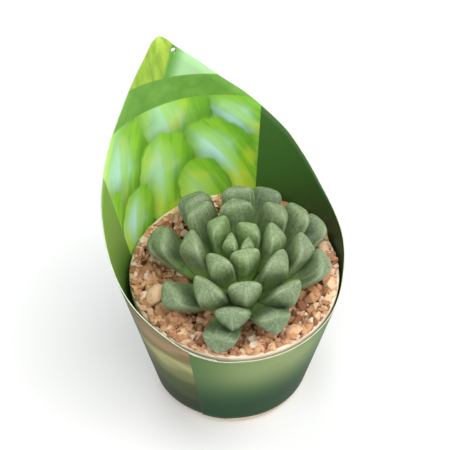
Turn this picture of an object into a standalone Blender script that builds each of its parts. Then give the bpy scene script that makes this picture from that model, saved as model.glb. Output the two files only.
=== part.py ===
"""A potted haworthia: pot, card sleeve, potting soil, gravel top dressing and leaf rosette.

Metres, +Z up. The origin is the middle of the pot's underside. The sleeve's tall back stands
at +Y and its low front at -Y. An angle called a turn is measured from +Y towards +X.
"""
import math
import random

import bmesh
import bpy
from mathutils import Matrix, Vector
from mathutils.bvhtree import BVHTree

MM = 0.001
TURN_STEPS = 64
SOIL_STEPS = 48
MERGE_DISTANCE = 0.00001
SHARP_ANGLE = 32.0

# Driving dimensions of the pot
POT_RIM_RADIUS = 42.5 * MM
POT_HEIGHT = 64.0 * MM
POT_BASE_RADIUS = 31.4 * MM
POT_WALL = 0.9 * MM
RIM_BEAD_WIDTH = 1.7 * MM
RIM_BEAD_DEPTH = 3.6 * MM
FOOT_CHAMFER = 1.0 * MM
FLOOR_THICKNESS = 2.2 * MM
GROOVE_INNER_RADIUS = 13.0 * MM
GROOVE_OUTER_RADIUS = 24.0 * MM
GROOVE_DEPTH = 1.2 * MM
DRAIN_HOLES = 6
DRAIN_HOLE_RADIUS = 3.2 * MM

# Clearance between pieces that touch
FIT_GAP = 0.35 * MM

# The sleeve: a card cone that rests on the rim bead
CARD = 0.6 * MM
SLEEVE_TAPER = 0.186
SLEEVE_BOTTOM = 5.0 * MM
SLEEVE_TIP_TURN = 3.0
SLEEVE_LOOSE_SIDE_TURN = -78.0
SLEEVE_LOOSE_SIDE = 2.0 * MM
SLEEVE_LOOSE_SPREAD = 38.0
SEAM_TURN = 236.5
SEAM_LAP = 14.0
PLY_GAP = 0.12 * MM
SLEEVE_COLUMNS = 110
SLEEVE_ROWS = 3
HANG_HOLE_RADIUS = 0.9 * MM
HANG_HOLE_TURN = 8.5
HANG_HOLE_DROP = 2.6 * MM
# The top edge: degrees from the tip, height above the rim in millimetres
SLEEVE_EDGE = ((0, 79.3), (3, 77.6), (6, 73.8), (12, 67.8), (24, 56.8), (35, 49.2), (45, 42.0),
               (56, 34.5), (66, 26.5), (79, 18.0), (93, 12.5), (105, 9.0), (115, 5.3), (125, 1.0),
               (142, -1.6), (180, -2.0))

# Soil and gravel
SOIL_TOP = 52.0 * MM
GRAVEL_TOP_MIDDLE = 56.8 * MM
GRAVEL_TOP_EDGE = 63.2 * MM
GRAVEL_RISE_START = 25.0 * MM
GRAVEL_HOLE_RADIUS = 8.0 * MM
STONE_COUNT = 170
STONE_SMALL = 3.6 * MM
STONE_LARGE = 7.0 * MM
STONE_SEED = 12
STONE_LEAN = 0.9
STONE_KNOCK = 0.22
STONE_CLEARANCE = 0.8
GOLDEN_TURN = 137.508

# The rosette: a neck in the soil, a core of leaf bases and a spiral of leaves
STEM_X = -1.0 * MM
STEM_Y = -6.0 * MM
STEM_RADIUS = 5.0 * MM
STEM_BOTTOM = 44.0 * MM
CORE_BOTTOM = 59.0 * MM
CORE_TOP = 74.0 * MM
CORE_RADIUS = 9.0 * MM
LEAF_COUNT = 27
LEAF_TWIST = 136.1
LEAF_FIRST_TURN = 66.5
LEAF_WIDTH = 16.0 * MM
LEAF_THICKNESS = 0.80
LEAF_ROOT_HEIGHT = 61.5 * MM
LEAF_ROOT_SPREAD = 2.5 * MM
LEAF_ROOT_LIFT = 9.0 * MM
LEAF_REACH = 5.2 * MM
LEAF_REACH_POWER = 0.612
ROSETTE_TOP = 95.4 * MM
ROSETTE_FALL = 12.1 * MM
ROSETTE_RADIUS = 35.0 * MM
ROSETTE_LEAN = 0.073
ROSETTE_LEAN_TURN = 28.5
BUD_DIP = 6.5 * MM
OLD_LEAF_DROOP = 0.3 * MM
OLD_LEAF_START = 14
LEAF_YOUTH = 6.0
YOUNG_SLIMNESS = 0.42
YOUNG_TILT = 6.0
OLD_TILT = 50.0
TILT_POWER = 1.5
ELBOW_DROP = 1.0 * MM
TURN_JITTER = 2.5
HEIGHT_JITTER = 0.7 * MM
WIDTH_JITTER = 0.05
ROLL_JITTER = 9.0
LEAF_SEED = 5
LEAF_SIDES = 6
# Leaves that grew off the even spiral: number to turn in degrees and reach in millimetres
LEAF_STRAYS = {13: (-15.0, -0.7), 14: (-6.0, 0.0), 16: (6.0, 3.0), 22: (8.0, 1.5), 23: (8.0, -2.0),
               27: (-4.0, 2.0)}
# Rings of a leaf: share of the body's or the cap's length, of the width and of the thickness
BODY_RINGS = ((0.0, 0.0, 0.0), (0.05, 0.40, 0.42), (0.42, 0.62, 0.66), (0.74, 0.88, 0.92), (1.0, 1.0, 1.0))
CAP_RINGS = ((0.58, 0.83, 0.77), (1.0, 0.0, 0.0))
CAP_LENGTH = 0.39
LEAF_SIDE_SPREAD = 0.58
UPPER_FACE_RISE = 0.42
KEEL_DROP = 0.60


def clear_scene():
    for thing in list(bpy.data.objects):
        bpy.data.objects.remove(thing, do_unlink=True)


def new_collection(name):
    group = bpy.data.collections.new(name)
    bpy.context.scene.collection.children.link(group)
    return group


def plain_material(name, colour, roughness, metallic=0.0):
    material = bpy.data.materials.new(name)
    material.use_nodes = True
    shader = material.node_tree.nodes["Principled BSDF"]
    shader.inputs["Base Color"].default_value = (*colour, 1.0)
    shader.inputs["Roughness"].default_value = roughness
    shader.inputs["Metallic"].default_value = metallic
    return material


def object_from_bmesh(name, bm, group, material=None):
    mesh = bpy.data.meshes.new(name)
    bm.to_mesh(mesh)
    bm.free()
    thing = bpy.data.objects.new(name, mesh)
    group.objects.link(thing)
    if material:
        mesh.materials.append(material)
    return thing


def turned_object(name, profile, steps, group, material):
    """A solid of revolution about Z from (radius, height) points, listed down its outer side."""
    bm = bmesh.new()
    corners = [bm.verts.new((radius, 0.0, height)) for radius, height in profile]
    for first, second in zip(corners, corners[1:]):
        bm.edges.new((first, second))
    thing = object_from_bmesh(name, bm, group, material)
    screw = thing.modifiers.new("Turn", "SCREW")
    screw.steps = steps
    screw.render_steps = steps
    screw.use_merge_vertices = True
    screw.merge_threshold = MERGE_DISTANCE
    return thing


def cylinder_cutter(name, radius, low, high, centre, group, sides=20):
    bm = bmesh.new()
    place = Matrix.Translation((centre[0], centre[1], (low + high) / 2))
    bmesh.ops.create_cone(bm, cap_ends=True, segments=sides, radius1=radius, radius2=radius,
                          depth=high - low, matrix=place)
    cutter = object_from_bmesh(name, bm, group)
    cutter.hide_render = True
    cutter.display_type = "WIRE"
    return cutter


def cut_away(thing, cutter):
    cut = thing.modifiers.new("Cut " + cutter.name, "BOOLEAN")
    cut.operation = "DIFFERENCE"
    cut.object = cutter


def apply_modifiers(thing):
    evaluated = thing.evaluated_get(bpy.context.evaluated_depsgraph_get())
    mesh = bpy.data.meshes.new_from_object(evaluated)
    thing.modifiers.clear()
    thing.data = mesh


def body_faces(face):
    """Every face joined to this one through edges that only two faces share."""
    found = {face}
    waiting = [face]
    while waiting:
        for edge in waiting.pop().edges:
            if len(edge.link_faces) == 2:
                fresh = [other for other in edge.link_faces if other not in found]
                found.update(fresh)
                waiting.extend(fresh)
    return found


def keep_largest_body(mesh):
    """Fill the hollows that fusing sealed, and drop loose scraps."""
    bm = bmesh.new()
    bm.from_mesh(mesh)
    bmesh.ops.triangulate(bm, faces=bm.faces)
    bodies = []
    left = set(bm.faces)
    while left:
        bodies.append(body_faces(next(iter(left))))
        left -= bodies[-1]
    largest = max(bodies, key=len)
    bmesh.ops.delete(bm, geom=[face for face in bm.faces if face not in largest], context="FACES")
    bm.to_mesh(mesh)
    bm.free()


def fuse_collection(thing, group):
    """Join every object of the collection to the thing, then remove them."""
    join = thing.modifiers.new("Fuse", "BOOLEAN")
    join.operation = "UNION"
    join.operand_type = "COLLECTION"
    join.collection = group
    apply_modifiers(thing)
    keep_largest_body(thing.data)
    for piece in list(group.objects):
        bpy.data.objects.remove(piece, do_unlink=True)
    bpy.data.collections.remove(group)


def turn_direction(degrees):
    angle = math.radians(degrees)
    return Vector((math.sin(angle), math.cos(angle), 0.0))


def angle_between_turns(degrees, other):
    return abs((degrees - other + 180.0) % 360.0 - 180.0)


def smooth_curve(points, position):
    """Height of a smooth curve through (position, height) points."""
    if position >= points[-1][0]:
        return points[-1][1]
    place = next(i for i in range(len(points) - 1) if points[i][0] <= position < points[i + 1][0])
    left, right = points[place], points[place + 1]
    before = points[place - 1] if place > 0 else (-right[0], right[1])
    after = points[place + 2] if place + 2 < len(points) else (right[0] + 1.0, right[1])
    span = right[0] - left[0]
    slope_left = (right[1] - before[1]) / (right[0] - before[0]) * span
    slope_right = (after[1] - left[1]) / (after[0] - left[0]) * span
    t = (position - left[0]) / span
    return ((2 * t**3 - 3 * t**2 + 1) * left[1] + (t**3 - 2 * t**2 + t) * slope_left
            + (3 * t**2 - 2 * t**3) * right[1] + (t**3 - t**2) * slope_right)


def pot_outer_radius(height):
    """The pot wall's outside radius, below the rim bead."""
    top_radius = POT_RIM_RADIUS - RIM_BEAD_WIDTH + POT_WALL
    top_height = POT_HEIGHT - RIM_BEAD_DEPTH
    return POT_BASE_RADIUS + (top_radius - POT_BASE_RADIUS) * height / top_height


def pot_inner_radius(height):
    return min(pot_outer_radius(height) - POT_WALL, POT_RIM_RADIUS - RIM_BEAD_WIDTH)


def pot_profile():
    bead_radius = RIM_BEAD_WIDTH / 2
    bead_middle = POT_RIM_RADIUS - bead_radius
    bead_height = POT_HEIGHT - bead_radius
    bead_foot = POT_HEIGHT - RIM_BEAD_DEPTH
    points = [
        (0.0, FLOOR_THICKNESS),
        (pot_inner_radius(FLOOR_THICKNESS), FLOOR_THICKNESS),
        (pot_inner_radius(bead_foot), bead_foot),
    ]
    for step in range(5):
        angle = math.pi * (1 - step / 4)
        points.append((bead_middle + bead_radius * math.cos(angle),
                       bead_height + bead_radius * math.sin(angle)))
    points += [
        (POT_RIM_RADIUS, bead_foot),
        (pot_outer_radius(bead_foot), bead_foot),
        (pot_outer_radius(FOOT_CHAMFER), FOOT_CHAMFER),
        (POT_BASE_RADIUS - FOOT_CHAMFER, 0.0),
        (GROOVE_OUTER_RADIUS, 0.0),
        (GROOVE_OUTER_RADIUS - GROOVE_DEPTH / 2, GROOVE_DEPTH),
        (GROOVE_INNER_RADIUS + GROOVE_DEPTH / 2, GROOVE_DEPTH),
        (GROOVE_INNER_RADIUS, 0.0),
        (0.0, 0.0),
    ]
    return points


def make_pot(group, cutters):
    cream = plain_material("cream_plastic", (0.83, 0.70, 0.53), 0.45)
    pot = turned_object("pot", pot_profile(), TURN_STEPS, group, cream)
    ring_radius = (GROOVE_INNER_RADIUS + GROOVE_OUTER_RADIUS) / 2
    for hole in range(DRAIN_HOLES):
        centre = turn_direction(360.0 * hole / DRAIN_HOLES) * ring_radius
        cutter = cylinder_cutter(f"drain_cutter_{hole}", DRAIN_HOLE_RADIUS, -FLOOR_THICKNESS,
                                 2 * FLOOR_THICKNESS, centre, cutters, 16)
        cut_away(pot, cutter)
    return pot


def sleeve_inner_radius(turn, height):
    """Inside radius of the card: a cone that clears the rim bead and stands off at its loose side."""
    cone = POT_RIM_RADIUS + FIT_GAP + SLEEVE_TAPER * (height - POT_HEIGHT + RIM_BEAD_DEPTH)
    off_side = angle_between_turns(turn, SLEEVE_LOOSE_SIDE_TURN) / SLEEVE_LOOSE_SPREAD
    return cone + SLEEVE_LOOSE_SIDE * math.exp(-off_side**2)


def sleeve_edge_height(turn):
    return POT_HEIGHT + MM * smooth_curve(SLEEVE_EDGE, angle_between_turns(turn, SLEEVE_TIP_TURN))


def make_sleeve(group, cutters):
    """One sheet wound once round the pot; its last degrees lie over its first ones as the seam."""
    green = plain_material("printed_card", (0.16, 0.38, 0.09), 0.4)
    bm = bmesh.new()
    bmesh.ops.create_grid(bm, x_segments=SLEEVE_COLUMNS, y_segments=SLEEVE_ROWS, size=0.5)
    start = SEAM_TURN - SEAM_LAP
    for corner in bm.verts:
        along = corner.co.x + 0.5
        up = corner.co.y + 0.5
        turn = start + along * (360.0 + SEAM_LAP)
        height = SLEEVE_BOTTOM + up * (sleeve_edge_height(turn) - SLEEVE_BOTTOM)
        into_lap = min(max((turn - start - 360.0 + SEAM_LAP) / SEAM_LAP, 0.0), 1.0)
        lift = (CARD + PLY_GAP) * into_lap**2 * (3 - 2 * into_lap)
        corner.co = turn_direction(turn) * (sleeve_inner_radius(turn, height) + lift)
        corner.co.z = height
    bmesh.ops.reverse_faces(bm, faces=bm.faces)
    sleeve = object_from_bmesh("sleeve", bm, group, green)
    card = sleeve.modifiers.new("Card", "SOLIDIFY")
    card.thickness = CARD
    card.offset = 1.0
    card.use_even_offset = True
    hole_height = sleeve_edge_height(HANG_HOLE_TURN) - HANG_HOLE_DROP
    bm = bmesh.new()
    bmesh.ops.create_cone(bm, cap_ends=True, segments=12, radius1=HANG_HOLE_RADIUS,
                          radius2=HANG_HOLE_RADIUS, depth=8 * MM)
    bmesh.ops.rotate(bm, verts=bm.verts, matrix=Matrix.Rotation(math.radians(90.0), 3, "X"))
    bmesh.ops.rotate(bm, verts=bm.verts, matrix=Matrix.Rotation(math.radians(-HANG_HOLE_TURN), 3, "Z"))
    place = turn_direction(HANG_HOLE_TURN) * sleeve_inner_radius(HANG_HOLE_TURN, hole_height)
    bmesh.ops.translate(bm, verts=bm.verts, vec=place + Vector((0.0, 0.0, hole_height)))
    punch = object_from_bmesh("hang_hole_cutter", bm, cutters)
    punch.hide_render = True
    punch.display_type = "WIRE"
    cut_away(sleeve, punch)
    return sleeve


def make_soil(group, cutters):
    peat = plain_material("potting_soil", (0.05, 0.03, 0.02), 0.95)
    low = FLOOR_THICKNESS + FIT_GAP
    profile = [
        (0.0, SOIL_TOP),
        (pot_inner_radius(SOIL_TOP) - FIT_GAP, SOIL_TOP),
        (pot_inner_radius(low) - FIT_GAP, low),
        (0.0, low),
    ]
    soil = turned_object("potting_soil", profile, SOIL_STEPS, group, peat)
    hole = cylinder_cutter("stem_hole_cutter", STEM_RADIUS + FIT_GAP, STEM_BOTTOM - FIT_GAP,
                           POT_HEIGHT, (STEM_X, STEM_Y), cutters)
    cut_away(soil, hole)
    return soil


def leaf_form(number, draw):
    """Where leaf number 1 and up stands, from the youngest outwards; 0 and -1 are the bud's."""
    growth = max(number, (number + 2) / 4)
    age = growth / LEAF_COUNT
    youth = math.exp(-growth / LEAF_YOUTH)
    stray_turn, stray_reach = LEAF_STRAYS.get(number, (0.0, 0.0))
    turn = LEAF_FIRST_TURN + LEAF_TWIST * (number - 1) + draw.uniform(-TURN_JITTER, TURN_JITTER) + stray_turn
    out = turn_direction(turn)
    up = Vector((0.0, 0.0, 1.0))
    stem = Vector((STEM_X, STEM_Y, 0.0))
    reach = LEAF_REACH * growth**LEAF_REACH_POWER + stray_reach * MM
    bud_dip = BUD_DIP * math.exp(-(reach / BUD_DIP) ** 2)
    droop = OLD_LEAF_DROOP * max(number - OLD_LEAF_START, 0)
    lean = ROSETTE_LEAN * reach * out.dot(turn_direction(ROSETTE_LEAN_TURN))
    tip_height = ROSETTE_TOP - ROSETTE_FALL * (reach / ROSETTE_RADIUS) ** 2 - bud_dip - droop + lean
    tip_height += draw.uniform(-HEIGHT_JITTER, HEIGHT_JITTER)
    root_height = LEAF_ROOT_HEIGHT + LEAF_ROOT_LIFT * youth
    root = stem + out * min(LEAF_ROOT_SPREAD, 0.4 * reach) + up * root_height
    tip = stem + out * reach + up * tip_height
    tilt = math.radians(YOUNG_TILT + OLD_TILT * age**TILT_POWER)
    rise = tip_height - root_height + ELBOW_DROP
    elbow = tip - (out * math.tan(tilt) + up) * rise
    width = LEAF_WIDTH * (1 - YOUNG_SLIMNESS * youth) * math.sqrt(min(1.0, reach / LEAF_REACH))
    width *= 1 + draw.uniform(-WIDTH_JITTER, WIDTH_JITTER)
    roll = math.radians(draw.uniform(-ROLL_JITTER, ROLL_JITTER))
    return {"root": root, "elbow": elbow, "tip": tip, "out": out, "width": width, "roll": roll}


def leaf_section(form, share):
    """The midrib's point, the leaf's width axis and its upper-face axis at a share of the length."""
    root, elbow, tip = form["root"], form["elbow"], form["tip"]
    point = root * (1 - share) ** 2 + elbow * 2 * share * (1 - share) + tip * share**2
    along = ((elbow - root) * (1 - share) + (tip - elbow) * share).normalized()
    across = form["out"].cross(Vector((0.0, 0.0, 1.0)))
    across = Matrix.Rotation(form["roll"] * share, 3, along) @ across
    return point, across, across.cross(along).normalized()


def leaf_rings(form):
    length = ((form["elbow"] - form["root"]).length + (form["tip"] - form["elbow"]).length
              + (form["tip"] - form["root"]).length) / 2
    cap = CAP_LENGTH * form["width"] / length
    rings = [(share * (1 - cap), wide, thick) for share, wide, thick in BODY_RINGS]
    return rings + [(1 - cap + share * cap, wide, thick) for share, wide, thick in CAP_RINGS]


def make_leaf(name, form, group):
    """A six-sided bead drawn out into a blunt leaf: two margins, a flat upper face and a keel."""
    bm = bmesh.new()
    rings = leaf_rings(form)
    last = len(rings) - 1
    bmesh.ops.create_uvsphere(bm, u_segments=LEAF_SIDES, v_segments=last, radius=1.0)
    thickness = form["width"] * LEAF_THICKNESS
    for corner in bm.verts:
        ring = round(last * (1 - math.acos(max(-1.0, min(1.0, corner.co.z))) / math.pi))
        share, wide, thick = rings[ring]
        side = math.atan2(corner.co.y, corner.co.x) + math.pi / LEAF_SIDES
        point, across, upper = leaf_section(form, share)
        sideways = LEAF_SIDE_SPREAD * form["width"] * wide * math.cos(side)
        lift = thickness * thick * math.sin(side) * (UPPER_FACE_RISE if math.sin(side) > 0 else KEEL_DROP)
        corner.co = point + across * sideways + upper * lift
    bmesh.ops.recalc_face_normals(bm, faces=bm.faces)
    return object_from_bmesh(name, bm, group)


def add_cone(bm, low, high, low_radius, high_radius):
    place = Matrix.Translation((STEM_X, STEM_Y, (low + high) / 2))
    bmesh.ops.create_cone(bm, cap_ends=True, segments=16, radius1=low_radius, radius2=high_radius,
                          depth=high - low, matrix=place)


def make_rosette(group):
    green = plain_material("leaf_green", (0.11, 0.17, 0.09), 0.45)
    bm = bmesh.new()
    add_cone(bm, STEM_BOTTOM, CORE_TOP - 2 * MM, STEM_RADIUS, 0.8 * STEM_RADIUS)
    rosette = object_from_bmesh("rosette", bm, group, green)
    leaves = new_collection("leaves")
    bm = bmesh.new()
    add_cone(bm, CORE_BOTTOM, CORE_TOP, CORE_RADIUS, 0.6 * CORE_RADIUS)
    object_from_bmesh("leaf_core", bm, leaves)
    draw = random.Random(LEAF_SEED)
    for number in range(-1, LEAF_COUNT + 1):
        make_leaf(f"leaf_{number + 2}", leaf_form(number, draw), leaves)
    fuse_collection(rosette, leaves)
    return rosette


def gravel_top(radius):
    """The bed lies low under the leaves and rises to the pot wall."""
    width = pot_inner_radius(POT_HEIGHT) - GRAVEL_RISE_START
    share = min(max((radius - GRAVEL_RISE_START) / width, 0.0), 1.0)
    return GRAVEL_TOP_MIDDLE + (GRAVEL_TOP_EDGE - GRAVEL_TOP_MIDDLE) * share**2 * (3 - 2 * share)


def make_stone(name, middle, size, draw, group):
    """A cube knocked out of true, turned at random and pressed flat where it meets the pot wall."""
    bm = bmesh.new()
    bmesh.ops.create_cube(bm, size=1.0)
    spin = Matrix.Rotation(draw.uniform(0, math.tau), 3, "Z")
    lean = Matrix.Rotation(draw.uniform(-STONE_LEAN, STONE_LEAN), 3, "X")
    proportions = Vector((draw.uniform(0.85, 1.25), draw.uniform(0.7, 1.0), draw.uniform(0.6, 0.9)))
    for corner in bm.verts:
        knock = Vector([draw.uniform(-STONE_KNOCK, STONE_KNOCK) for _ in range(3)])
        corner.co = middle + spin @ lean @ ((corner.co * 0.9 + knock) * proportions) * size
        limit = pot_inner_radius(corner.co.z) - FIT_GAP
        corner.co.xy *= min(1.0, limit / corner.co.xy.length)
    return object_from_bmesh(name, bm, group)


def make_gravel(group, cutters, rosette):
    """A bed of grit: stones on a sunflower spiral, set half deep wherever the leaves leave room."""
    grit = plain_material("gravel", (0.70, 0.38, 0.22), 0.85)
    low = SOIL_TOP + FIT_GAP
    wall = pot_inner_radius(low) - FIT_GAP
    rim_wall = pot_inner_radius(POT_HEIGHT) - FIT_GAP
    profile = [(0.0, gravel_top(0.0))]
    profile += [(rim_wall * share, gravel_top(rim_wall * share)) for share in (0.62, 0.76, 0.88, 1.0)]
    profile += [(wall, low), (0.0, low)]
    gravel = turned_object("gravel", profile, TURN_STEPS, group, grit)
    hole = cylinder_cutter("gravel_hole_cutter", GRAVEL_HOLE_RADIUS, SOIL_TOP - FIT_GAP, POT_HEIGHT,
                           (STEM_X, STEM_Y), cutters)
    cut_away(gravel, hole)
    apply_modifiers(gravel)
    leaf_faces = BVHTree.FromObject(rosette, bpy.context.evaluated_depsgraph_get())
    stones = new_collection("stones")
    draw = random.Random(STONE_SEED)
    for number in range(STONE_COUNT):
        size = draw.uniform(STONE_SMALL, STONE_LARGE)
        radius = (rim_wall - 0.42 * size) * math.sqrt((number + 0.5) / STONE_COUNT)
        middle = turn_direction(GOLDEN_TURN * number) * radius
        middle.z = gravel_top(radius) + draw.uniform(-0.05, 0.22) * size
        room = leaf_faces.find_nearest(middle)[3]
        from_stem = (middle.xy - Vector((STEM_X, STEM_Y))).length
        reach = STONE_CLEARANCE * size
        if room > reach and from_stem > GRAVEL_HOLE_RADIUS + reach:
            make_stone(f"stone_{number}", middle, size, draw, stones)
    fuse_collection(gravel, stones)
    return gravel


def main():
    clear_scene()
    plant = new_collection("potted_haworthia")
    cutters = new_collection("cutters")
    make_pot(plant, cutters)
    make_sleeve(plant, cutters)
    make_soil(plant, cutters)
    rosette = make_rosette(plant)
    make_gravel(plant, cutters, rosette)
    for thing in plant.objects:
        thing.data.shade_smooth()
        thing.data.set_sharp_from_angle(angle=math.radians(SHARP_ANGLE))


main()
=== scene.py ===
# Looks of the potted haworthia: pot, printed card sleeve, soil, grit and leaf rosette.
# Metres, Z up, the pot's underside at the origin. A turn is degrees from +Y (the tall back) towards +X.
import math
import random

import bmesh
import bpy
from mathutils import Matrix, Vector, noise
from mathutils.bvhtree import BVHTree


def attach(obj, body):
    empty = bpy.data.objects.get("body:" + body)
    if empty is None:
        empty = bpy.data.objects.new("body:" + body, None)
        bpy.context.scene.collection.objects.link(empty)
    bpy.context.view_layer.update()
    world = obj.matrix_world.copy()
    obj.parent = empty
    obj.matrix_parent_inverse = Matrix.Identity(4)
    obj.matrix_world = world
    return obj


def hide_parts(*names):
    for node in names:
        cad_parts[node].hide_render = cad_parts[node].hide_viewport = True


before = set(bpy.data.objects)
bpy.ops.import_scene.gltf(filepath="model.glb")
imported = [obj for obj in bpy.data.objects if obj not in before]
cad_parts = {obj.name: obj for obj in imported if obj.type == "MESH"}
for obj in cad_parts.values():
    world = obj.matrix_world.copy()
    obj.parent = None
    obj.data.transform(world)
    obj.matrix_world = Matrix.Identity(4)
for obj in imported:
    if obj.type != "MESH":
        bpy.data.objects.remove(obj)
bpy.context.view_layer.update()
print("frame loaded:", ", ".join(sorted(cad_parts)))

mm = 0.001
cm = 0.01
up = Vector((0.0, 0.0, 1.0))

pot = {
    "rimRadius": 42.5 * mm,
    "height": 64.0 * mm,
    "baseRadius": 31.4 * mm,
    "wall": 0.9 * mm,
    "beadWidth": 1.7 * mm,
    "beadDepth": 3.6 * mm,
    "fitGap": 0.35 * mm,
    "plastic": (238, 219, 192),
    "scuff": (222, 198, 164),
    # brown tint that darkens the pot towards its bottom
    "brownTint": (150, 118, 84),
    "brownTintHeight": 12.0 * mm,
}


def turnDirection(degrees):
    angle = math.radians(degrees)
    return Vector((math.sin(angle), math.cos(angle), 0.0))


def smoothStep(value, low, high):
    share = min(max((value - low) / (high - low), 0.0), 1.0)
    return share * share * (3 - 2 * share)


def potOuterRadius(height):
    topRadius = pot["rimRadius"] - pot["beadWidth"] + pot["wall"]
    return pot["baseRadius"] + (topRadius - pot["baseRadius"]) * height / (pot["height"] - pot["beadDepth"])


def potInnerRadius(height):
    return min(potOuterRadius(height) - pot["wall"], pot["rimRadius"] - pot["beadWidth"])


def smoothCurve(points, position):  # a smooth line through (position, height) points
    if position >= points[-1][0]:
        return points[-1][1]
    place = next(i for i in range(len(points) - 1) if points[i][0] <= position < points[i + 1][0])
    left, right = points[place], points[place + 1]
    before = points[place - 1] if place > 0 else (-right[0], right[1])
    after = points[place + 2] if place + 2 < len(points) else (right[0] + 1.0, right[1])
    span = right[0] - left[0]
    slopeLeft = (right[1] - before[1]) / (right[0] - before[0]) * span
    slopeRight = (after[1] - left[1]) / (after[0] - left[0]) * span
    t = (position - left[0]) / span
    return ((2 * t**3 - 3 * t**2 + 1) * left[1] + (t**3 - 2 * t**2 + t) * slopeLeft
            + (3 * t**2 - 2 * t**3) * right[1] + (t**3 - t**2) * slopeRight)


def paint(red, green, blue):  # screen colour 0-255 to the shader's linear values
    def linear(value):
        value /= 255
        return value / 12.92 if value <= 0.04045 else ((value + 0.055) / 1.055) ** 2.4
    return linear(red), linear(green), linear(blue), 1.0


def feed(tree, socket, value):  # links another node's socket, or sets a fixed value
    if isinstance(value, bpy.types.NodeSocket):
        tree.links.new(value, socket)
    else:
        socket.default_value = value


def addNode(tree, kind, inputs=None, **settings):
    node = tree.nodes.new(kind)
    for name, value in settings.items():
        setattr(node, name, value)
    for name, value in (inputs or {}).items():
        feed(tree, node.inputs[name], value)
    return node


def calculate(tree, operation, first, second=0.0, third=0.0):
    inputs = {0: first, 1: second, 2: third}
    return addNode(tree, "ShaderNodeMath", inputs, operation=operation).outputs[0]


def multiply(tree, first, second):
    return calculate(tree, "MULTIPLY", first, second)


def mapRange(tree, value, low, high, toLow=0.0, toHigh=1.0, smooth=True):
    inputs = {"Value": value, "From Min": low, "From Max": high, "To Min": toLow, "To Max": toHigh}
    kind = "SMOOTHSTEP" if smooth else "LINEAR"
    return addNode(tree, "ShaderNodeMapRange", inputs, interpolation_type=kind).outputs["Result"]


def mixColour(tree, share, first, second):  # colours are sockets or (red, green, blue) of the screen
    node = addNode(tree, "ShaderNodeMix", {0: share}, data_type="RGBA")
    for socket, colour in ((node.inputs[6], first), (node.inputs[7], second)):
        feed(tree, socket, paint(*colour) if isinstance(colour, tuple) else colour)
    return node.outputs[2]


def colourRamp(tree, share, stops):
    node = addNode(tree, "ShaderNodeValToRGB", {"Fac": share})
    node.color_ramp.interpolation = "EASE"
    elements = node.color_ramp.elements
    while len(elements) < len(stops):
        elements.new(0.5)
    for element, (position, colour) in zip(elements, stops):
        element.position = position
        element.color = paint(*colour)
    return node.outputs["Color"]


def cloudNoise(tree, vector, scale, detail=3.0, roughness=0.5, distortion=0.0):
    inputs = {"Vector": vector, "Scale": scale, "Detail": detail, "Roughness": roughness,
              "Distortion": distortion}
    return addNode(tree, "ShaderNodeTexNoise", inputs).outputs["Fac"]


def cellDistance(tree, vector, scale, feature):
    inputs = {"Vector": vector, "Scale": scale}
    return addNode(tree, "ShaderNodeTexVoronoi", inputs, feature=feature).outputs["Distance"]


def objectPlace(tree):
    return addNode(tree, "ShaderNodeTexCoord").outputs["Object"]


def splitVector(tree, vector):
    return addNode(tree, "ShaderNodeSeparateXYZ", {0: vector}).outputs


def splitAttribute(tree, name):
    return splitVector(tree, addNode(tree, "ShaderNodeAttribute", attribute_name=name).outputs["Vector"])


def stretch(tree, vector, factors):
    return addNode(tree, "ShaderNodeVectorMath", {0: vector, 1: factors}, operation="MULTIPLY").outputs[0]


def newMaterial(name):
    material = bpy.data.materials.new(name)
    material.use_nodes = True
    tree = material.node_tree
    return material, tree, tree.nodes["Principled BSDF"]


def setShader(tree, shader, links, values):
    for name, socket in links.items():
        tree.links.new(socket, shader.inputs[name])
    for name, value in values.items():
        shader.inputs[name].default_value = value


def newGroup(name, inputs, outputs):
    group = bpy.data.node_groups.new(name, "ShaderNodeTree")
    for label, kind, value in inputs:
        socket = group.interface.new_socket(label, in_out="INPUT", socket_type=kind)
        socket.default_value = value
    for label, kind in outputs:
        group.interface.new_socket(label, in_out="OUTPUT", socket_type=kind)
    return group, group.nodes.new("NodeGroupInput").outputs, group.nodes.new("NodeGroupOutput").inputs


def useGroup(tree, group, inputs):
    node = addNode(tree, "ShaderNodeGroup", node_tree=group)
    for name, value in inputs.items():
        feed(tree, node.inputs[name], value)
    return node.outputs


def makeGrainGroup():  # fine relief and uneven tone, for plastic, soil, stone and card
    group, given, result = newGroup(
        "surfaceGrain",
        [("Vector", "NodeSocketVector", (0, 0, 0)), ("Size", "NodeSocketFloat", 1.0),
         ("Relief", "NodeSocketFloat", 0.3)],
        [("Tone", "NodeSocketFloat"), ("Fine", "NodeSocketFloat"), ("Normal", "NodeSocketVector")],
    )
    scale = calculate(group, "DIVIDE", 1.0, given["Size"])
    broad = cloudNoise(group, given["Vector"], scale, 3.0, 0.55)
    fineScale = multiply(group, scale, 6.0)  # the fine grain is a sixth of the broad patches
    fine = cloudNoise(group, given["Vector"], fineScale, 4.0, 0.6)
    relief = {"Strength": given["Relief"], "Distance": 0.3 * mm, "Height": fine}
    bump = addNode(group, "ShaderNodeBump", relief)
    group.links.new(broad, result["Tone"])
    group.links.new(fine, result["Fine"])
    group.links.new(bump.outputs["Normal"], result["Normal"])
    return group


surfaceGrain = makeGrainGroup()
print("shared grain ready")


def faceOutwards(bm):
    bmesh.ops.recalc_face_normals(bm, faces=bm.faces)
    if bm.calc_volume(signed=True) < 0:  # the recalculation turns some cut shells inside out as a whole
        bmesh.ops.reverse_faces(bm, faces=bm.faces)


def meshFrom(name, bm):
    mesh = bpy.data.meshes.new(name)
    bm.to_mesh(mesh)
    bm.free()
    return mesh


def placeObject(name, data):
    made = bpy.data.objects.new(name, data)
    bpy.context.scene.collection.objects.link(made)
    return made


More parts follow.
